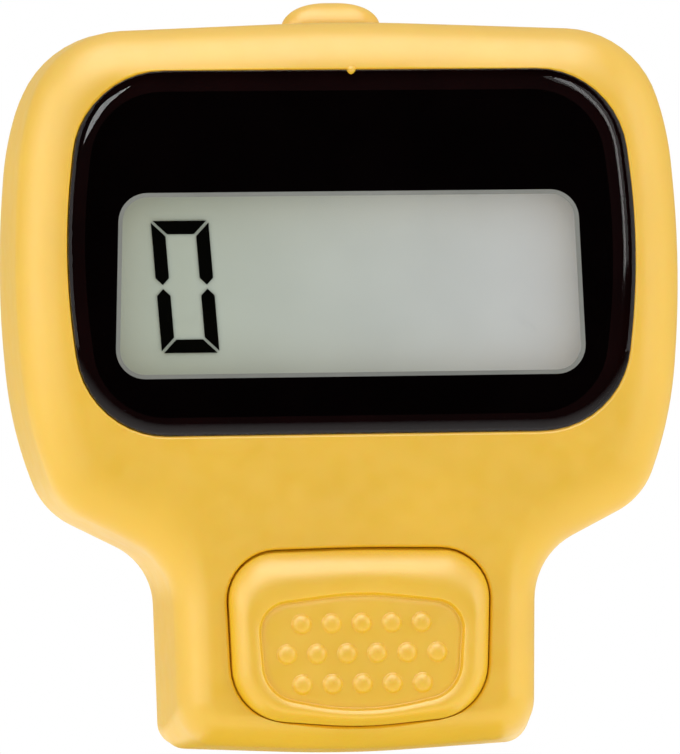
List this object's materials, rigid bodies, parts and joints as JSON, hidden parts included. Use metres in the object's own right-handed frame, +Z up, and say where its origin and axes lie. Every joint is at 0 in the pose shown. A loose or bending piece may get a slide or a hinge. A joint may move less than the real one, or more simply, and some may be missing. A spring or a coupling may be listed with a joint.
{
  "type": "digital finger counter",
  "caption": "Finger-worn digital tally counter: plastic case with a wide head and narrow neck, display lens, count button, top reset button and finger strap.",
  "frame": {"origin": "centre of the finger loop behind the case, midway across the strap's width", "axes": "+Z up along the finger's direction through the loop and towards the reset button, -Y out of the display, +X to the right as seen from the front"},
  "size_m": [0.033, 0.0351, 0.037],
  "materials": {
    "case": "satin moulded plastic, warm yellow",
    "button": "satin moulded plastic, warm yellow",
    "strap": "soft moulded elastomer, yellow",
    "lens": "clear polished acrylic",
    "mask": "black printed film",
    "display_film": "satin polarizing film",
    "display_glass": "clear thin glass",
    "reflector": "grey reflecting film",
    "frame_plastic": "black moulded plastic",
    "contact_rubber": "layered conductive elastomer",
    "segment": "dark lit segment of liquid crystal",
    "board": "green solder mask on glass laminate",
    "chip": "black epoxy",
    "capacitor": "tan ceramic",
    "switch_plastic": "black moulded plastic",
    "plunger": "cream moulded plastic",
    "steel": "bright plated steel",
    "contact": "gold-plated spring bronze"
  },
  "bodies": {
    "case": {"front_case": "case", "back_case": "case", "finger_strap": "strap", "display_lens": "lens", "lens_mask": "mask", "lcd_front_polarizer": "display_film", "lcd_front_glass": "display_glass", "lcd_rear_glass": "display_glass", "lcd_reflector": "reflector", "lcd_frame": "frame_plastic", "zebra_strip": "contact_rubber", "lcd_segment_a": "segment", "lcd_segment_b": "segment", "lcd_segment_c": "segment", "lcd_segment_d": "segment", "lcd_segment_e": "segment", "lcd_segment_f": "segment", "circuit_board": "board", "chip_blob": "chip", "capacitor": "capacitor", "resistor": "chip", "count_switch_body": "switch_plastic", "count_switch_cover": "steel", "count_switch_dome": "steel", "reset_switch_body": "switch_plastic", "reset_switch_cover": "steel", "reset_switch_dome": "steel", "battery_can": "steel", "battery_gasket": "switch_plastic", "battery_cap": "steel", "battery_contact_positive": "contact", "battery_contact_negative": "contact", "case_screw_1": "steel", "case_screw_2": "steel", "case_screw_3": "steel", "case_screw_4": "steel", "board_screw_1": "steel", "board_screw_2": "steel", "board_screw_3": "steel", "board_screw_4": "steel"},
    "count_button": {"count_button": "button"},
    "count_plunger": {"count_switch_plunger": "plunger"},
    "reset_button": {"reset_button": "button"},
    "reset_plunger": {"reset_switch_plunger": "plunger"},
    "battery_door": {"battery_door": "case", "battery_door_screw": "steel"}
  },
  "joints": [
    {"name": "count_press", "type": "slide", "parent": "case", "child": "count_button", "axis": [0, 1, 0], "range_m": [0, 0.00045], "stiffness_N_per_m": 800},
    {"name": "count_plunger_press", "type": "slide", "parent": "case", "child": "count_plunger", "axis": [0, 1, 0], "range_m": [0, 0.00045], "deforming": ["count_switch_dome"]},
    {"name": "reset_press", "type": "slide", "parent": "case", "child": "reset_button", "axis": [0, 0, -1], "range_m": [0, 0.0004], "stiffness_N_per_m": 800},
    {"name": "reset_plunger_press", "type": "slide", "parent": "case", "child": "reset_plunger", "axis": [0, 0, -1], "range_m": [0, 0.0004], "deforming": ["reset_switch_dome"]},
    {"name": "door_lift", "type": "slide", "parent": "case", "child": "battery_door", "axis": [0, 1, 0], "range_m": [0, 0.004]}
  ],
  "couplings": [
    {"joint": "count_plunger_press", "follows": "count_press", "ratio": 1},
    {"joint": "reset_plunger_press", "follows": "reset_press", "ratio": 1}
  ]
}
